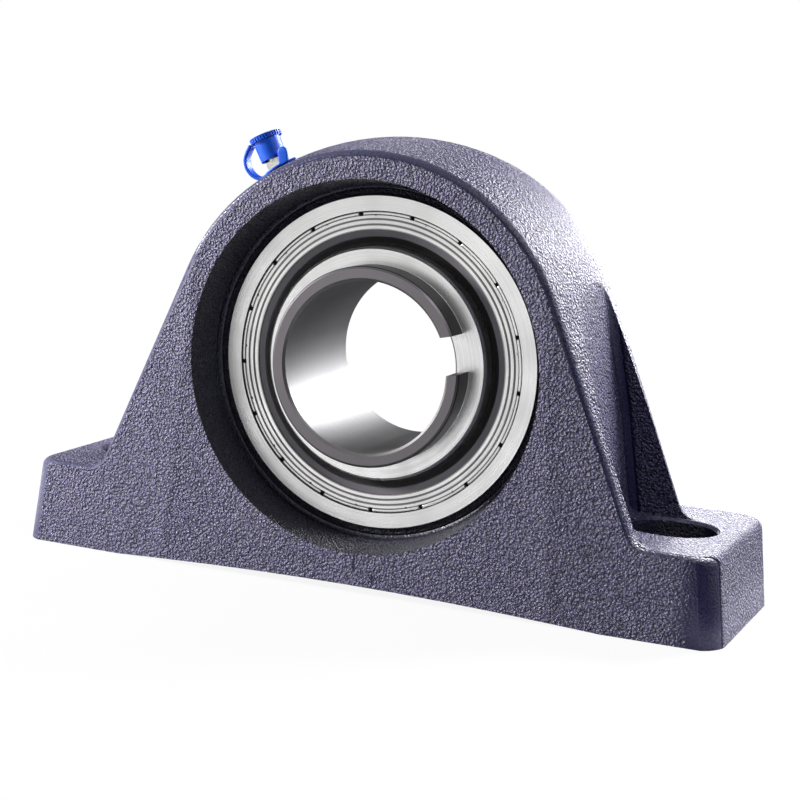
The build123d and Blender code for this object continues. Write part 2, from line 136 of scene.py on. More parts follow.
def makeWorld():
    world = bpy.data.worlds.new("paleStudio")
    world.use_nodes = True
    tree = world.node_tree
    tree.nodes.clear()
    out = tree.nodes.new("ShaderNodeOutputWorld")
    soft = tree.nodes.new("ShaderNodeBackground")
    soft.inputs["Color"].default_value = studio["ambientColour"]
    soft.inputs["Strength"].default_value = studio["ambient"]
    plain = tree.nodes.new("ShaderNodeBackground")
    plain.inputs["Color"].default_value = (1.0, 1.0, 1.0, 1.0)
    plain.inputs["Strength"].default_value = 1.0
    mix = tree.nodes.new("ShaderNodeMixShader")
    tree.links.new(addMath(tree, "MAXIMUM", *seenDirectly(tree)), mix.inputs["Fac"])
    tree.links.new(soft.outputs[0], mix.inputs[1])
    tree.links.new(plain.outputs[0], mix.inputs[2])
    tree.links.new(mix.outputs[0], out.inputs["Surface"])
    bpy.context.scene.world = world


# Node helpers

def feed(tree, socket, value):
    # Sets an input to a number or a colour, or links it to another node's output.
    if isinstance(value, (int, float)):
        socket.default_value = value
    elif isinstance(value, tuple):
        socket.default_value = value + (1.0,)
    else:
        tree.links.new(value, socket)


def addMath(tree, operation, *values):
    node = tree.nodes.new("ShaderNodeMath")
    node.operation = operation
    for slot, value in enumerate(values):
        feed(tree, node.inputs[slot], value)
    return node.outputs[0]


def addRamp(tree, value, low, high, outLow=0.0, outHigh=1.0):
    # A smooth step of a value from low to high.
    node = tree.nodes.new("ShaderNodeMapRange")
    node.interpolation_type = "SMOOTHSTEP"
    ends = (("From Min", low), ("From Max", high), ("To Min", outLow), ("To Max", outHigh))
    for label, number in (("Value", value),) + ends:
        feed(tree, node.inputs[label], number)
    return node.outputs["Result"]


def addNoise(tree, place, scale, detail, roughness):
    node = tree.nodes.new("ShaderNodeTexNoise")
    for label, value in (("Vector", place), ("Scale", scale), ("Detail", detail), ("Roughness", roughness)):
        feed(tree, node.inputs[label], value)
    return node.outputs["Fac"]


def addMix(tree, amount, first, second):
    # Mixes two colours.
    node = tree.nodes.new("ShaderNodeMix")
    node.data_type = "RGBA"
    colourIn = [s for s in node.inputs if s.type == "RGBA"]
    for socket, value in ((node.inputs[0], amount), (colourIn[0], first), (colourIn[1], second)):
        feed(tree, socket, value)
    return [s for s in node.outputs if s.type == "RGBA"][0]


def newGroup(name, inputs, outputs):
    tree = bpy.data.node_groups.new(name, "ShaderNodeTree")
    for direction, sockets in (("INPUT", inputs), ("OUTPUT", outputs)):
        for label, kind in sockets:
            tree.interface.new_socket(label, in_out=direction, socket_type=kind)
    return tree, tree.nodes.new("NodeGroupInput").outputs, tree.nodes.new("NodeGroupOutput").inputs


def useGroup(tree, group, **values):
    node = tree.nodes.new("ShaderNodeGroup")
    node.node_tree = group
    for label, value in values.items():
        feed(tree, node.inputs[label], value)
    return node.outputs


def newMaterial(name):
    material = bpy.data.materials.new(name)
    material.use_nodes = True
    tree = material.node_tree
    shader = tree.nodes["Principled BSDF"]
    place = tree.nodes.new("ShaderNodeTexCoord").outputs
    return material, tree, shader, place


def addBump(tree, shader, height, distance):
    bump = tree.nodes.new("ShaderNodeBump")
    bump.inputs["Strength"].default_value = 1.0
    bump.inputs["Distance"].default_value = distance
    tree.links.new(height, bump.inputs["Height"])
    tree.links.new(bump.outputs["Normal"], shader.inputs["Normal"])


# Effects that several materials share

skin = {
    "cellsPerGrain": 0.90,
    "cellSoftness": 0.35,
    "cellHeight": -0.95,
    "gritsPerGrain": 1.8,
    "gritHeight": 0.75,
    "waveHeight": 1.6,
    "grainRange": (0.25, 0.72),  # values of the rough skin between its deep and its full colour
    "mottleRange": (0.36, 0.66),
}


def castSkinGroup():
    # The skin of a sand casting: packed grains, fine grit between them and slow waves of the mould.
    # Height is noise(g p) + cellHeight cell(cellsPerGrain g p) + gritHeight noise(gritsPerGrain g p)
    # + waveHeight noise(w p), where p is the place, g and w are the grains and waves per metre, and cell is
    # the distance from the middle of the nearest grain.
    group, given, out = newGroup(
        "castSkin",
        [("Place", "NodeSocketVector"), ("Grains per metre", "NodeSocketFloat"),
         ("Waves per metre", "NodeSocketFloat")],
        [("Height", "NodeSocketFloat"), ("Grain", "NodeSocketFloat"), ("Mottle", "NodeSocketFloat")],
    )
    place, perMetre = given["Place"], given["Grains per metre"]
    grains = addNoise(group, place, perMetre, 2.0, 0.5)
    grit = addNoise(group, place, addMath(group, "MULTIPLY", perMetre, skin["gritsPerGrain"]), 2.0, 0.5)
    waves = addNoise(group, place, given["Waves per metre"], 3.0, 0.6)
    cells = group.nodes.new("ShaderNodeTexVoronoi")
    cells.feature = "SMOOTH_F1"
    feed(group, cells.inputs["Smoothness"], skin["cellSoftness"])
    feed(group, cells.inputs["Vector"], place)
    feed(group, cells.inputs["Scale"], addMath(group, "MULTIPLY", perMetre, skin["cellsPerGrain"]))
    lumps = addMath(group, "MULTIPLY", cells.outputs["Distance"], skin["cellHeight"])
    rough = addMath(group, "MULTIPLY_ADD", grit, skin["gritHeight"], addMath(group, "ADD", grains, lumps))
    group.links.new(addMath(group, "MULTIPLY_ADD", waves, skin["waveHeight"], rough), out["Height"])
    group.links.new(addRamp(group, rough, *skin["grainRange"]), out["Grain"])
    group.links.new(addRamp(group, waves, *skin["mottleRange"]), out["Mottle"])
    return group


def shaftPlaceGroup():
    # Distance from the shaft's axis, turn about it, and depth from the bearing's middle plane.
    group, given, out = newGroup(
        "shaftPlace",
        [("Place", "NodeSocketVector")],
        [("Radius", "NodeSocketFloat"), ("Turn", "NodeSocketFloat"), ("Depth", "NodeSocketFloat")],
    )
    parts = group.nodes.new("ShaderNodeSeparateXYZ")
    group.links.new(given["Place"], parts.inputs[0])
    across = parts.outputs["X"]
    up = addMath(group, "SUBTRACT", parts.outputs["Z"], bearingHeight)
    square = addMath(group, "MULTIPLY_ADD", across, across, addMath(group, "MULTIPLY", up, up))
    group.links.new(addMath(group, "SQRT", square), out["Radius"])
    group.links.new(addMath(group, "ARCTAN2", up, across), out["Turn"])
    group.links.new(addMath(group, "ABSOLUTE", addMath(group, "SUBTRACT", parts.outputs["Y"], bearingMiddle)),
                    out["Depth"])
    return group


def turnedLinesGroup():
    # Fine rings left by grinding or turning round the shaft, and sectors round the circle that are a painted
    # reflection, standing in for the grinding's sheen.
    group, given, out = newGroup(
        "turnedLines",
        [("Place", "NodeSocketVector"), ("Rings per metre", "NodeSocketFloat")],
        [("Lines", "NodeSocketFloat"), ("Reflection sectors", "NodeSocketFloat")],
    )
    spot = useGroup(group, shaftPlace, Place=given["Place"])
    turn = spot["Turn"]
    rings = group.nodes.new("ShaderNodeCombineXYZ")
    group.links.new(addMath(group, "MULTIPLY", spot["Radius"], given["Rings per metre"]), rings.inputs[0])
    group.links.new(addMath(group, "MULTIPLY", spot["Depth"], given["Rings per metre"]), rings.inputs[1])
    group.links.new(addMath(group, "MULTIPLY", addMath(group, "SINE", turn), 0.8), rings.inputs[2])
    group.links.new(addNoise(group, rings.outputs[0], 1.0, 3.0, 0.6), out["Lines"])
    sweep = group.nodes.new("ShaderNodeCombineXYZ")
    group.links.new(addMath(group, "SINE", turn), sweep.inputs[0])
    group.links.new(addMath(group, "COSINE", turn), sweep.inputs[1])
    group.links.new(addNoise(group, sweep.outputs[0], 2.4, 2.0, 0.5), out["Reflection sectors"])
    return group


def ringLineGroup():
    # 1 on a thin circle about the shaft, falling smoothly to 0 over its half width.
    group, given, out = newGroup(
        "ringLine",
        [("Distance", "NodeSocketFloat"), ("Circle", "NodeSocketFloat"), ("Half width", "NodeSocketFloat")],
        [("Line", "NodeSocketFloat")],
    )
    off = addMath(group, "ABSOLUTE", addMath(group, "SUBTRACT", given["Distance"], given["Circle"]))
    share = addMath(group, "DIVIDE", off, given["Half width"])
    group.links.new(addRamp(group, share, 1.0, 0.35), out["Line"])
    return group


castSkin = castSkinGroup()
shaftPlace = shaftPlaceGroup()
ringLine = ringLineGroup()
turnedLines = turnedLinesGroup()


# Materials

paint = {
    "deep": (0.015, 0.013, 0.056),  # between the grains, and on top of them
    "body": (0.142, 0.126, 0.275),
    "dusty": (0.20, 0.185, 0.26),
    "dustyShare": 0.08,
    # painted shade on the rounded edges and down the right end of the front face
    "edge": (0.010, 0.009, 0.050),
    # painted shade in the recess and in the bolt slots
    "recess": (0.010, 0.010, 0.020),
    "recessFades": (0.0595, 0.0592),  # radius over which the painted shade of the recess sets in
    "recessShare": 0.90,
    "slotMiddle": (0.0945, 0.0),  # along the base and along the shaft
    "slotHalfSize": (0.0147, 0.0128),
    "slotTop": (0.0262, 0.0272),
    "slotShadeShare": 0.85,
    "edgeOffSide": (0.17, 0.31),  # the normal's share along the shaft, where the painted edge shade sets in
    "edgeOffFace": (0.995, 0.86),
    "edgeGloss": 0.06,  # how much smoother than the grain the rounded edges are
    "edgeCalm": 0.93,  # share of the relief that is taken off there
    # where the painted shade widens down the right end of the front face
    "rightShadeFromX": (0.1035, 0.1135),
    "rightShadeOffSide": (0.30, 0.60),
    "creaseAtBase": 0.0675,  # distance of each crease from the middle at the underside
    "creaseLean": 0.0804,  # how much nearer to the middle it comes per metre of height
    "fieldSlope": 0.25,
    "ridgeHalfWidth": 0.0040,
    "ridgeRise": 0.00075,
    "roughness": (0.30, 0.52),
    "grainsPerMetre": 1300.0,
    "wavesPerMetre": 45.0,
    "relief": 0.00190,
}


def castPaint():
    material, tree, shader, place = newMaterial("castPaint")
    coat = useGroup(tree, castSkin, Place=place["Object"], **{
        "Grains per metre": paint["grainsPerMetre"], "Waves per metre": paint["wavesPerMetre"]})
    colour = addMix(tree, coat["Grain"], paint["deep"], paint["body"])
    dust = addMath(tree, "MULTIPLY", coat["Mottle"], paint["dustyShare"])
    colour = addMix(tree, dust, colour, paint["dusty"])
    # Painted shade on rounded edges, which turn dark navy where the normal is neither along the shaft nor
    # square to it.
    facing = tree.nodes.new("ShaderNodeSeparateXYZ")
    tree.links.new(place["Normal"], facing.inputs[0])
    along = addMath(tree, "ABSOLUTE", facing.outputs["Y"])
    offSide, offFace = addRamp(tree, along, *paint["edgeOffSide"]), addRamp(tree, along, *paint["edgeOffFace"])
    edge = addMath(tree, "MULTIPLY", offSide, offFace)
    # The painted edge shade is widest down the right end of the front face.
    parts = tree.nodes.new("ShaderNodeSeparateXYZ")
    tree.links.new(place["Object"], parts.inputs[0])
    fromMiddle = addMath(tree, "ABSOLUTE", parts.outputs["X"])
    rightEnd = addRamp(tree, parts.outputs["X"], *paint["rightShadeFromX"])
    rightEndShade = addMath(tree, "MULTIPLY", rightEnd, addRamp(tree, along, *paint["rightShadeOffSide"]))
    edge = addMath(tree, "MAXIMUM", edge, rightEndShade)
    colour = addMix(tree, edge, colour, paint["edge"])
    # Painted shade in the recess round the insert, dark almost to black.
    radius = useGroup(tree, shaftPlace, Place=place["Object"])["Radius"]
    recess = addRamp(tree, radius, *paint["recessFades"])
    colour = addMix(tree, addMath(tree, "MULTIPLY", recess, paint["recessShare"]), colour, paint["recess"])
    # Painted shade in the bolt slots as well.
    slotShade = addRamp(tree, parts.outputs["Z"], paint["slotTop"][1], paint["slotTop"][0])
    distances = (fromMiddle, addMath(tree, "ABSOLUTE", parts.outputs["Y"]))
    for distance, middle, half in zip(distances, paint["slotMiddle"], paint["slotHalfSize"]):
        off = addMath(tree, "ABSOLUTE", addMath(tree, "SUBTRACT", distance, middle))
        slotShade = addMath(tree, "MULTIPLY", slotShade, addMath(tree, "LESS_THAN", off, half))
    colour = addMix(tree, addMath(tree, "MULTIPLY", slotShade, paint["slotShadeShare"]), colour, paint["recess"])
    tree.links.new(colour, shader.inputs["Base Color"])
    low, high = paint["roughness"]
    rough = addRamp(tree, coat["Grain"], 0.0, 1.0, high, low)
    tree.links.new(addMath(tree, "MULTIPLY_ADD", edge, -paint["edgeGloss"], rough), shader.inputs["Roughness"])
    # The relief in metres: the skin's height, and the fields that lean back from a ridge at each crease.
    relief = addMath(tree, "MULTIPLY_ADD", edge, -paint["edgeCalm"] * paint["relief"], paint["relief"])
    beyond = addMath(tree, "SUBTRACT", fromMiddle, paint["creaseAtBase"])
    beyond = addMath(tree, "MULTIPLY_ADD", parts.outputs["Z"], paint["creaseLean"], beyond)
    field = addMath(tree, "MULTIPLY", addMath(tree, "MAXIMUM", beyond, 0.0), -paint["fieldSlope"])
    fromCrease = addMath(tree, "ABSOLUTE", beyond)
    ridge = addRamp(tree, fromCrease, paint["ridgeHalfWidth"], 0.0, 0.0, paint["ridgeRise"])
    field = addMath(tree, "ADD", field, ridge)
    addBump(tree, shader, addMath(tree, "MULTIPLY_ADD", coat["Height"], relief, field), 1.0)
    return material


steels = {
    # name: base colour, darker colour, roughness low and high, rings per metre, relief in metres
    "groundSteel": ((0.79, 0.79, 0.785), (0.62, 0.62, 0.615), 0.24, 0.36, 2600.0, 0.000010),
    "shieldSteel": ((0.78, 0.78, 0.77), (0.60, 0.60, 0.60), 0.20, 0.34, 1500.0, 0.000006),
    "pressedSteel": ((0.52, 0.52, 0.52), (0.36, 0.36, 0.36), 0.32, 0.48, 900.0, 0.000010),
    "balls": ((0.86, 0.86, 0.87), (0.80, 0.80, 0.81), 0.05, 0.09, 600.0, 0.000001),
}


shadeRange = {  # values of the turning marks, painted reflection sectors among them, that give the two ends of each look
    "colour": (0.38, 0.62),
    "roughness": (0.3, 0.7),
}


def turnedBase(name, steel):
    # A metal with turning marks in its relief; gives back its nodes, its colour and its roughness.
    pale, dark, smooth, dull, rings, relief = steels[steel]
    material, tree, shader, place = newMaterial(name)
    marks = useGroup(tree, turnedLines, Place=place["Object"], **{"Rings per metre": rings})
    # Colour and roughness follow the grinding lines and the painted reflection sectors.
    shade = addMath(tree, "MULTIPLY_ADD", marks["Reflection sectors"], 0.5, addMath(tree, "MULTIPLY", marks["Lines"], 0.5))
    colour = addMix(tree, addRamp(tree, shade, *shadeRange["colour"]), dark, pale)
    roughness = addRamp(tree, shade, *shadeRange["roughness"], dull, smooth)
    shader.inputs["Metallic"].default_value = 1.0
    addBump(tree, shader, marks["Lines"], relief)
    return material, tree, shader, place, colour, roughness


def turnedSteel(name):
    material, tree, shader, _, colour, roughness = turnedBase(name, name)
    tree.links.new(colour, shader.inputs["Base Color"])
    tree.links.new(roughness, shader.inputs["Roughness"])
    return material


stakedRim = {
    "count": 17,
    "firstNotchDegrees": 16.2,
    "notchWidth": 0.0013,
    "notchesFrom": (0.0470, 0.0473),  # radius where the painted shade of a notch sets in
    "notchBeat": (0.955, 0.985),  # and the cosine of the turn, times the count, where it does
    "notchShade": (0.004, 0.004, 0.005),
    "stepShade": (0.006, 0.006, 0.007),
    "radius": 0.04790,
    "halfWidth": 0.00038,
    "rise": 0.00034,
    "sink": 0.00012,
    "sheetDepth": 0.0124,  # from the bearing's middle plane to the sheet's outer face
}

shieldLines = [
    # radius, half width and darkness of the painted shade along the shield's edges and pressed steps
    (0.04855, 0.00040, 0.96),
    (0.04735, 0.00026, 0.85),
    (0.04600, 0.00048, 0.80),
    (0.04430, 0.00048, 0.80),
    (0.04285, 0.00030, 0.60),
]


def shieldSheet():
    # Bright pressed sheet, with painted shade in the steps and along the staked rim.
    material, tree, shader, place, colour, roughness = turnedBase("shieldSheet", "shieldSteel")
    spot = useGroup(tree, shaftPlace, Place=place["Object"])
    for circle, halfWidth, shadeDarkness in shieldLines:
        line = useGroup(tree, ringLine, Distance=spot["Radius"], Circle=circle, **{"Half width": halfWidth})
        share = addMath(tree, "MULTIPLY", line["Line"], shadeDarkness)
        colour = addMix(tree, share, colour, stakedRim["stepShade"])
    # Painted shade turns the notches between the staked arcs black.
    fromNotch = addMath(tree, "SUBTRACT", spot["Turn"], math.radians(stakedRim["firstNotchDegrees"]))
    beat = addMath(tree, "COSINE", addMath(tree, "MULTIPLY", fromNotch, float(stakedRim["count"])))
    onRim = addRamp(tree, spot["Radius"], *stakedRim["notchesFrom"])
    notch = addMath(tree, "MULTIPLY", addRamp(tree, beat, *stakedRim["notchBeat"]), onRim)
    colour = addMix(tree, notch, colour, stakedRim["notchShade"])
    tree.links.new(colour, shader.inputs["Base Color"])
    tree.links.new(roughness, shader.inputs["Roughness"])
    return material


innerRing = {
    "darkBeyond": 0.0157,  # from the bearing's middle plane, just past the shoulder
    "boreRadius": 0.0279,
    "bore": (0.13, 0.13, 0.13),
    "dark": (0.120, 0.113, 0.122),
    # the collar's outside wall: a blackened finish, deepened with painted shade
    "black": (0.020, 0.020, 0.022),
    "collarWall": (0.0315, 0.0318),  # radius over which the collar's end turns into its wall
    "collarEnd": 0.0243,
    "collarDulls": 0.18,  # roughness added to that of the ground steel
    "boreDulls": 0.16,
}


def innerRingSteel():
    # Ground shoulder, raceway and bore; the collar's end keeps a dark finish, and its outside turns black,
    # partly a blackened finish and partly painted shade.
    material, tree, shader, place, steel, ground = turnedBase("innerRingSteel", "groundSteel")
    spot = useGroup(tree, shaftPlace, Place=place["Object"])
    beyond = addMath(tree, "GREATER_THAN", spot["Depth"], innerRing["darkBeyond"])
    outside = addMath(tree, "GREATER_THAN", spot["Radius"], innerRing["boreRadius"])
    collar = addMath(tree, "MULTIPLY", beyond, outside)
    steel = addMix(tree, outside, innerRing["bore"], steel)
    wallBlackAndShade = addRamp(tree, spot["Radius"], *innerRing["collarWall"])
    short = addMath(tree, "LESS_THAN", spot["Depth"], innerRing["collarEnd"])
    finish = addMix(tree, addMath(tree, "MULTIPLY", wallBlackAndShade, short), innerRing["dark"], innerRing["black"])
    tree.links.new(addMix(tree, collar, steel, finish), shader.inputs["Base Color"])
    rough = addMath(tree, "MULTIPLY_ADD", collar, innerRing["collarDulls"], ground)
    inBore = addMath(tree, "SUBTRACT", 1.0, outside)
    rough = addMath(tree, "MULTIPLY_ADD", inBore, innerRing["boreDulls"], rough)
    tree.links.new(rough, shader.inputs["Roughness"])
    return material


clouds = {  # soft patches in rubber, zinc and plastic
    "detail": 4.0,
    "roughness": 0.6,
    "colourRange": (0.35, 0.65),
    "glossRange": (0.2, 0.8),
    "duller": 0.08,  # roughness added in the patches, and taken away between them
    "smoother": 0.04,
}


def addCloud(tree, place, scale):
    return addNoise(tree, place["Object"], scale, clouds["detail"], clouds["roughness"])


def addPatches(tree, shader, cloud, roughness):
    ends = roughness + clouds["duller"], roughness - clouds["smoother"]
    feed(tree, shader.inputs["Roughness"], addRamp(tree, cloud, *clouds["glossRange"], *ends))


rubber = {
    "bead": (0.125, 0.120, 0.135),
    "lip": (0.010, 0.010, 0.011),
    "beadInside": (0.0402, 0.0404),  # radius over which the lip turns into the bead
    "noisePerMetre": 900.0,
    "roughness": 0.50,
    "relief": 0.00002,
}


def sealRubber():
    # The bead in the shield's bore is matte grey, and the lip inside it is black with grease.
    material, tree, shader, place = newMaterial("sealRubber")
    radius = useGroup(tree, shaftPlace, Place=place["Object"])["Radius"]
    cloud = addCloud(tree, place, rubber["noisePerMetre"])
    bead = addRamp(tree, radius, *rubber["beadInside"])
    tree.links.new(addMix(tree, bead, rubber["lip"], rubber["bead"]), shader.inputs["Base Color"])
    addPatches(tree, shader, cloud, rubber["roughness"])
    addBump(tree, shader, cloud, rubber["relief"])
    return material


plainFinishes = {
    # name: colour, second colour, metallic, specular level, roughness, noise per metre, relief in metres
    "zincPlate": ((0.52, 0.52, 0.48), (0.38, 0.38, 0.35), 1.0, 0.5, 0.34, 700.0, 0.00002),
    "capPlastic": ((0.001, 0.070, 0.50), (0.001, 0.058, 0.44), 0.0, 0.25, 0.40, 500.0, 0.00002),
}


def plainFinish(name):
    first, second, metallic, specular, roughness, scale, relief = plainFinishes[name]
    material, tree, shader, place = newMaterial(name)
    cloud = addCloud(tree, place, scale)
    colour = addMix(tree, addRamp(tree, cloud, *clouds["colourRange"]), second, first)
    tree.links.new(colour, shader.inputs["Base Color"])
    shader.inputs["Metallic"].default_value = metallic
    shader.inputs["Specular IOR Level"].default_value = specular
    addPatches(tree, shader, cloud, roughness)
    addBump(tree, shader, cloud, relief)
    return material


def paleFloor():
    # Near the part the floor is a matte sheet that takes its shadow. Further out it is plain white.
    material, tree, shader, place = newMaterial("paleFloor")
    shader.inputs["Base Color"].default_value = studio["floorColour"]
    shader.inputs["Roughness"].default_value = studio["floorRoughness"]
    shader.inputs["Specular IOR Level"].default_value = studio["floorSpecular"]
    white = tree.nodes.new("ShaderNodeEmission")
    white.inputs["Color"].default_value = (1.0, 1.0, 1.0, 1.0)
    length = tree.nodes.new("ShaderNodeVectorMath")
    length.operation = "LENGTH"
    tree.links.new(place["Object"], length.inputs[0])
    camera, mirrored = seenDirectly(tree)
    away = length.outputs["Value"]
    plain = addRamp(tree, away, studio["whiteNear"], studio["whiteFar"], studio["whiteBelow"])
    mirror = addRamp(tree, away, studio["mirrorNear"], studio["mirrorFar"])
    mix = tree.nodes.new("ShaderNodeMixShader")
    share = addMath(tree, "MULTIPLY_ADD", plain, camera, addMath(tree, "MULTIPLY", mirror, mirrored))
    tree.links.new(share, mix.inputs["Fac"])
    tree.links.new(shader.outputs[0], mix.inputs[1])
    tree.links.new(white.outputs[0], mix.inputs[2])
    tree.links.new(mix.outputs[0], tree.nodes["Material Output"].inputs["Surface"])
    return material


def makeFloor():
    half = studio["floorHalfSize"]
    mesh = bpy.data.meshes.new("paleFloor")
    corners = [(-half, -half, 0.0), (half, -half, 0.0), (half, half, 0.0), (-half, half, 0.0)]
    mesh.from_pydata(corners, [], [(0, 1, 2, 3)])
    mesh.materials.append(paleFloor())
    floor = bpy.data.objects.new("paleFloor", mesh)
    bpy.context.scene.collection.objects.link(floor)


def makeFlags():
    black, _, shader, _ = newMaterial("blackCard")
    shader.inputs["Base Color"].default_value = studio["flagColour"]
    shader.inputs["Roughness"].default_value = studio["flagRoughness"]
    for name, corners in flags:
        mesh = bpy.data.meshes.new(name)
        mesh.from_pydata(corners, [], [(0, 1, 2, 3)])
        mesh.materials.append(black)
        flag = bpy.data.objects.new(name, mesh)
        flag.visible_camera = False
        flag.visible_shadow = False
        bpy.context.scene.collection.objects.link(flag)


# Surfaces as grids

def gridMesh(name, points, closed, material):
    # points is an array (along, round the section, 3). A piece that isn't closed along gets two end faces.
    along, around = points.shape[:2]
    number = np.arange(along * around).reshape(along, around)
    rows = number if closed else number[:-1]
    nextRows = np.roll(number, -1, axis=0)[:rows.shape[0]]
    faces = np.stack([rows, np.roll(rows, -1, 1), np.roll(nextRows, -1, 1), nextRows], -1)
    faces = faces.reshape(-1, 4).tolist()
    if not closed:
        faces += [number[0][::-1].tolist(), number[-1].tolist()]
    mesh = bpy.data.meshes.new(name)
    mesh.from_pydata(points.reshape(-1, 3).tolist(), [], faces)
    mesh.polygons.foreach_set("use_smooth", [True] * len(mesh.polygons))
    mesh.materials.append(material)
    return mesh


def joinMeshes(name, meshes):
    # One object from several closed shells.
    whole = bmesh.new()
    for mesh in meshes:
        whole.from_mesh(mesh)
    bmesh.ops.recalc_face_normals(whole, faces=whole.faces)
    joined = bpy.data.meshes.new(name)
    whole.to_mesh(joined)
    whole.free()
    for material in meshes[0].materials:
        joined.materials.append(material)
    piece = bpy.data.objects.new(name, joined)
    bpy.context.scene.collection.objects.link(piece)
    return piece


# The dust cap's ring, strap and pull tongue, moulded in one

strap = {
    "root": (-0.040271, -0.01625, 0.130595),  # where the nipple's axis leaves the hub
    "leanDegrees": 34.5,
    "plateInner": 0.0031,
    "plateOuter": 0.0055,
    "plateThickness": 0.0008,
    "pointReach": 0.0013,
    "pointTurn": -0.12,  # radians from the right, half the point's spread, and how pointed it is
    "pointHalfTurn": 0.42,
    "pointPower": 1.3,
    "bandWidth": 0.0040,
    "bandThickness": 0.0012,
    "bandPath": [(-0.0048, 0.0004), (-0.0074, 0.0007), (-0.0093, 0.0027), (-0.0100, 0.0058),
                 (-0.0090, 0.0088), (-0.0070, 0.0106), (-0.0052, 0.0116)],
    "bandGives": (0.0050, 0.0112),  # heights between which the band gives way
    "tongueFoot": (0.0036, -0.0042),
    "tongueHeight": 0.0056,
    "tongueWidth": 0.0034,
    "tongueThickness": 0.0011,
    "tongueSquareness": 0.45,
    "tongueShares": (0.66, 0.34),  # of its height, the straight part and the rounded end
    "tongueThinnest": 0.35,
    "tongueLeanDegrees": 23.0,
}


def fromNipple(points):
    # Points given in the nipple's frame (along the hub, along the shaft, up its axis), in the part's frame.
    lean = math.radians(strap["leanDegrees"])
    axes = np.array([[math.cos(lean), 0.0, math.sin(lean)], [0.0, 1.0, 0.0],
                     [-math.sin(lean), 0.0, math.cos(lean)]])
    return points @ axes + np.array(strap["root"])


def softRectangle(count, halfWide, halfHigh, squareness=0.35):
    # A closed section: a superellipse, cos and sin raised to a low power.
    angle = np.linspace(0.0, 2.0 * np.pi, count, endpoint=False)
    c, s = np.cos(angle), np.sin(angle)
    return np.stack([halfWide * np.sign(c) * np.abs(c) ** squareness,
                     halfHigh * np.sign(s) * np.abs(s) ** squareness], -1)


def smoothPath(points, count):
    # A curve through the points: each coordinate is a cubic (Catmull-Rom) of the distance along them.
    points = np.array(points, float)
    ends = np.vstack([2 * points[0] - points[1], points, 2 * points[-1] - points[-2]])
    t = np.linspace(0.0, len(points) - 1.0, count)
    i = np.minimum(t.astype(int), len(points) - 2)
    f = (t - i)[:, None]
    a, b, c, d = ends[i], ends[i + 1], ends[i + 2], ends[i + 3]
    return 0.5 * (2 * b + (c - a) * f + (2 * a - 5 * b + 4 * c - d) * f ** 2 + (3 * b - a - 3 * c + d) * f ** 3)


def ringPlate(material):
    # Radius and height follow a rounded section; the outside grows into a small point on the right.
    turn = np.linspace(0.0, 2.0 * np.pi, 72, endpoint=False)[:, None]
    section = softRectangle(24, 0.5, 0.5 * strap["plateThickness"])
    offAngle = np.abs(np.angle(np.exp(1j * (turn - strap["pointTurn"]))))
    point = np.clip(1.0 - offAngle / strap["pointHalfTurn"], 0.0, 1.0) ** strap["pointPower"]
    outer = strap["plateOuter"] + strap["pointReach"] * point
    middle = 0.5 * (strap["plateInner"] + outer)
    radius = middle + section[None, :, 0] * (outer - strap["plateInner"])
    height = 0.5 * strap["plateThickness"] + section[None, :, 1] + 0.0 * turn
    points = np.stack([radius * np.cos(turn), radius * np.sin(turn), height], -1)
    return gridMesh("ringPlate", fromNipple(points), True, material)


def loopBand(material):
    # A flat section carried along the loop. Its width stays along the shaft.
    path = smoothPath(strap["bandPath"], 44)
    step = np.gradient(path, axis=0)
    step /= np.linalg.norm(step, axis=1)[:, None]
    normal = np.stack([-step[:, 1], step[:, 0]], -1)
    section = softRectangle(24, 0.5 * strap["bandWidth"], 0.5 * strap["bandThickness"])
    x = path[:, None, 0] + section[None, :, 1] * normal[:, None, 0]
    z = path[:, None, 1] + section[None, :, 1] * normal[:, None, 1]
    y = section[None, :, 0] + 0.0 * x
    return gridMesh("loopBand", fromNipple(np.stack([x, y, z], -1)), False, material)


def pullTongue(material):
    # A rounded tab. Its width narrows as the root of 1 - h squared near the top, where h runs 0 to 1.
    straight, rounded = strap["tongueShares"]
    end = straight + rounded * np.sin(np.linspace(0.1, np.pi / 2, 10))
    height = np.concatenate([np.linspace(0.0, straight, 12), end])
    cap = np.clip((height - straight) / rounded, 0.0, 1.0)
    width = np.sqrt(np.clip(1.0 - cap ** 2, 0.0004, 1.0))
    halfSize = 0.5 * strap["tongueWidth"], 0.5 * strap["tongueThickness"]
    section = softRectangle(24, *halfSize, strap["tongueSquareness"])
    lean = math.radians(strap["tongueLeanDegrees"])
    along = height[:, None] * strap["tongueHeight"]
    side = section[None, :, 0] * width[:, None]
    x = strap["tongueFoot"][0] + side * math.cos(lean) + along * math.sin(lean)
    z = along * math.cos(lean) - side * math.sin(lean)
    thin = np.clip(width, strap["tongueThinnest"], 1.0)[:, None]
    y = strap["tongueFoot"][1] + section[None, :, 1] * thin + 0.0 * along
    points = np.stack([x, y, np.maximum(z, 0.0001)], -1)
    return gridMesh("pullTongue", fromNipple(points), False, material)


# The spring under the nipple's check ball, which gives way when grease pushes the ball down

checkSpring = {
    "coilRadius": 0.00115,
    "wireRadius": 0.00020,
    "turns": 4,
    "foot": 0.00025,  # heights of the wire's two ends above the nipple's root
    "head": 0.00577,
}


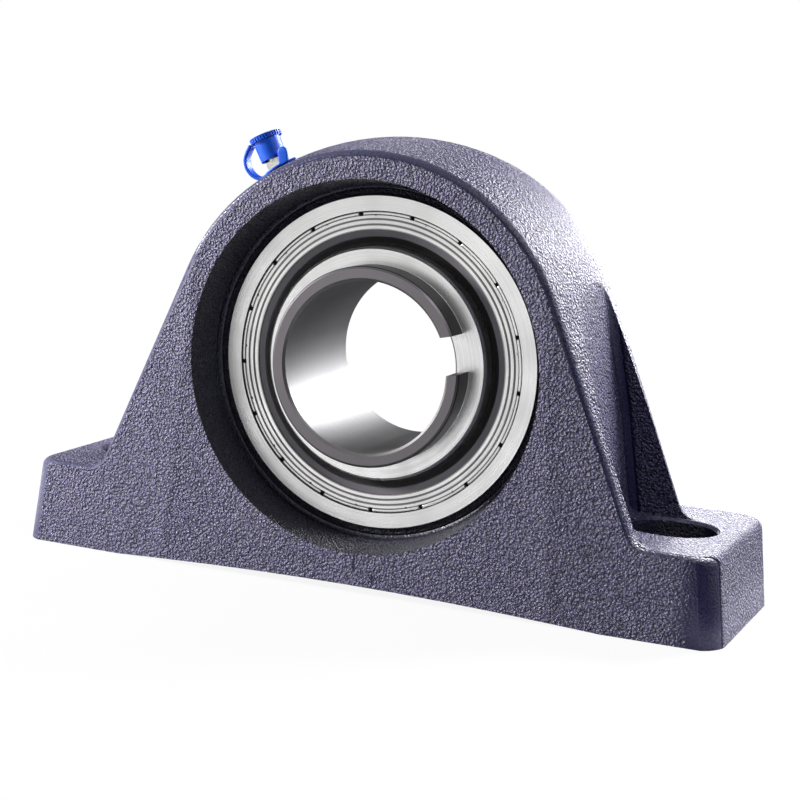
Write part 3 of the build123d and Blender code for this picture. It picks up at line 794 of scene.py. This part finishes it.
def springCoil(material):
    # A round wire carried along a helix: (R cos a, R sin a, height rising evenly with a).
    angle = np.linspace(0.0, 2.0 * np.pi * checkSpring["turns"], 128)
    height = np.linspace(checkSpring["foot"], checkSpring["head"], len(angle))
    outward = np.stack([np.cos(angle), np.sin(angle), 0.0 * angle], -1)
    middle = checkSpring["coilRadius"] * outward + np.stack([0.0 * angle, 0.0 * angle, height], -1)
    step = np.gradient(middle, axis=0)
    across = np.cross(step, outward)
    across /= np.linalg.norm(across, axis=1)[:, None]
    turn = np.linspace(0.0, 2.0 * np.pi, 12, endpoint=False)[None, :, None]
    wire = np.cos(turn) * outward[:, None, :] + np.sin(turn) * across[:, None, :]
    points = middle[:, None, :] + checkSpring["wireRadius"] * wire
    return gridMesh("springCoil", fromNipple(points), False, material)


# The shield's rim, staked into the ring's groove in arcs between the notches

def rimArcs(face, material):
    # A rounded section carried round each arc: radius r + w cos(s), height h sin(s) over the sheet.
    notch = 0.5 * stakedRim["notchWidth"] / stakedRim["radius"]
    step = 2.0 * np.pi / stakedRim["count"]
    section = softRectangle(16, 1.0, 1.0, 0.5)
    high = np.where(section[:, 1] > 0.0, stakedRim["rise"], stakedRim["sink"]) * section[:, 1]
    meshes = []
    for number in range(stakedRim["count"]):
        start = math.radians(stakedRim["firstNotchDegrees"]) + step * number
        turn = np.linspace(start + notch, start + step - notch, 28)[:, None]
        radius = stakedRim["radius"] + stakedRim["halfWidth"] * section[None, :, 0]
        y = bearingMiddle + face * (stakedRim["sheetDepth"] + high)[None, :] + 0.0 * turn
        points = np.stack([radius * np.cos(turn), y, bearingHeight + radius * np.sin(turn)], -1)
        meshes.append(gridMesh("rimArc", points, False, material))
    return meshes


# Flash left on the casting where the halves of the core met

seams = {
    "halfWidth": 0.00020,
    "rise": 0.00020,
    "sink": 0.00025,
    "taper": 0.85,
    # name: points (X, Y, Z) on the housing's skin
    "paths": {
        "seamOverRecess": [
            (0.0005, -0.02075, 0.12730), (0.0005, -0.0212, 0.12820), (0.0004, -0.0232, 0.12925),
            (0.0002, -0.0270, 0.12985), (-0.0002, -0.0312, 0.13041)],
        "seamUnderRecess": [
            (0.0021, -0.0364, 0.01292), (0.0030, -0.0330, 0.01340), (0.0042, -0.0290, 0.01400)],
        "seamOnFrontLong": [
            (0.0019, -0.0370, 0.00700), (0.0017, -0.0370, 0.00980), (0.0020, -0.0370, 0.01270)],
        "seamOnFrontShort": [
            (0.0085, -0.0370, 0.00390), (0.0082, -0.0370, 0.00560), (0.0083, -0.0370, 0.00740)],
    },
}


def seamRib(name, points, material):
    # Across it a seam is an ellipse, higher outside than inside the metal. Along it both radii fall off as
    # 1 - taper t to the fourth, where t runs from -1 to 1.
    path = smoothPath(points, 40)
    step = np.gradient(path, axis=0)
    outward = np.cross(np.array([1.0, 0.0, 0.0]), step)
    outward /= np.linalg.norm(outward, axis=1)[:, None]
    turn = np.linspace(0.0, 2.0 * np.pi, 16, endpoint=False)
    t = np.linspace(-1.0, 1.0, len(path))
    size = (1.0 - seams["taper"] * t ** 4)[:, None, None]
    side = seams["halfWidth"] * np.cos(turn)[None, :, None] * np.array([1.0, 0.0, 0.0])
    rise = np.where(np.sin(turn) > 0.0, seams["rise"], seams["sink"]) * np.sin(turn)
    points = path[:, None, :] + size * (side + rise[None, :, None] * outward[:, None, :])
    return gridMesh(name, points, False, material)


# Build

bpy.context.scene.view_settings.view_transform = "Standard"
makeCamera()
makeLamps()
makeWorld()
makeFloor()
makeFlags()
print("studio is set")

finishOf = {"castPaint": castPaint(), "innerRingSteel": innerRingSteel(), "shieldSheet": shieldSheet(),
            "sealRubber": sealRubber()}
for finish in steels:
    finishOf[finish] = turnedSteel(finish)
for finish in plainFinishes:
    finishOf[finish] = plainFinish(finish)

dressing = {
    "housing": "castPaint",
    "outer_ring": "groundSteel",
    "inner_ring": "innerRingSteel",
    "outer_washer": "shieldSheet",
    "inner_washer": "pressedSteel",
    "seal_lip": "sealRubber",
    "cage": "pressedSteel",
    "ball_": "balls",
    "nipple_ball": "balls",
    "nipple": "zincPlate",
    "dust_cap": "capPlastic",
    "cap_strap": "capPlastic",
}
for name, part in cadNodes.items():
    finish = next(f for word, f in dressing.items() if word in name)
    part.data.materials.clear()
    part.data.materials.append(finishOf[finish])
print("cast, steel, rubber and plastic finishes are on")

plastic = finishOf["capPlastic"]
capStrap = joinMeshes("capStrapMoulding", [ringPlate(plastic), loopBand(plastic), pullTongue(plastic)])
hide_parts("cap_strap")
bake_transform(capStrap)
print("strap of the dust cap is made")

ballSpring = joinMeshes("checkSpringCoil", [springCoil(finishOf["zincPlate"])])
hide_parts("nipple_spring")
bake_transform(ballSpring)
print("spring of the check ball is made")

for name, face in (("frontStakedRim", -1), ("rearStakedRim", 1)):
    rim = joinMeshes(name, rimArcs(face, finishOf["shieldSteel"]))
    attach(rim, "insert")
print("staked rims of the shields are made")

for name, points in seams["paths"].items():
    seam = joinMeshes(name, [seamRib(name, points, finishOf["castPaint"])])
    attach(seam, "housing")
print("seams of the casting are made")
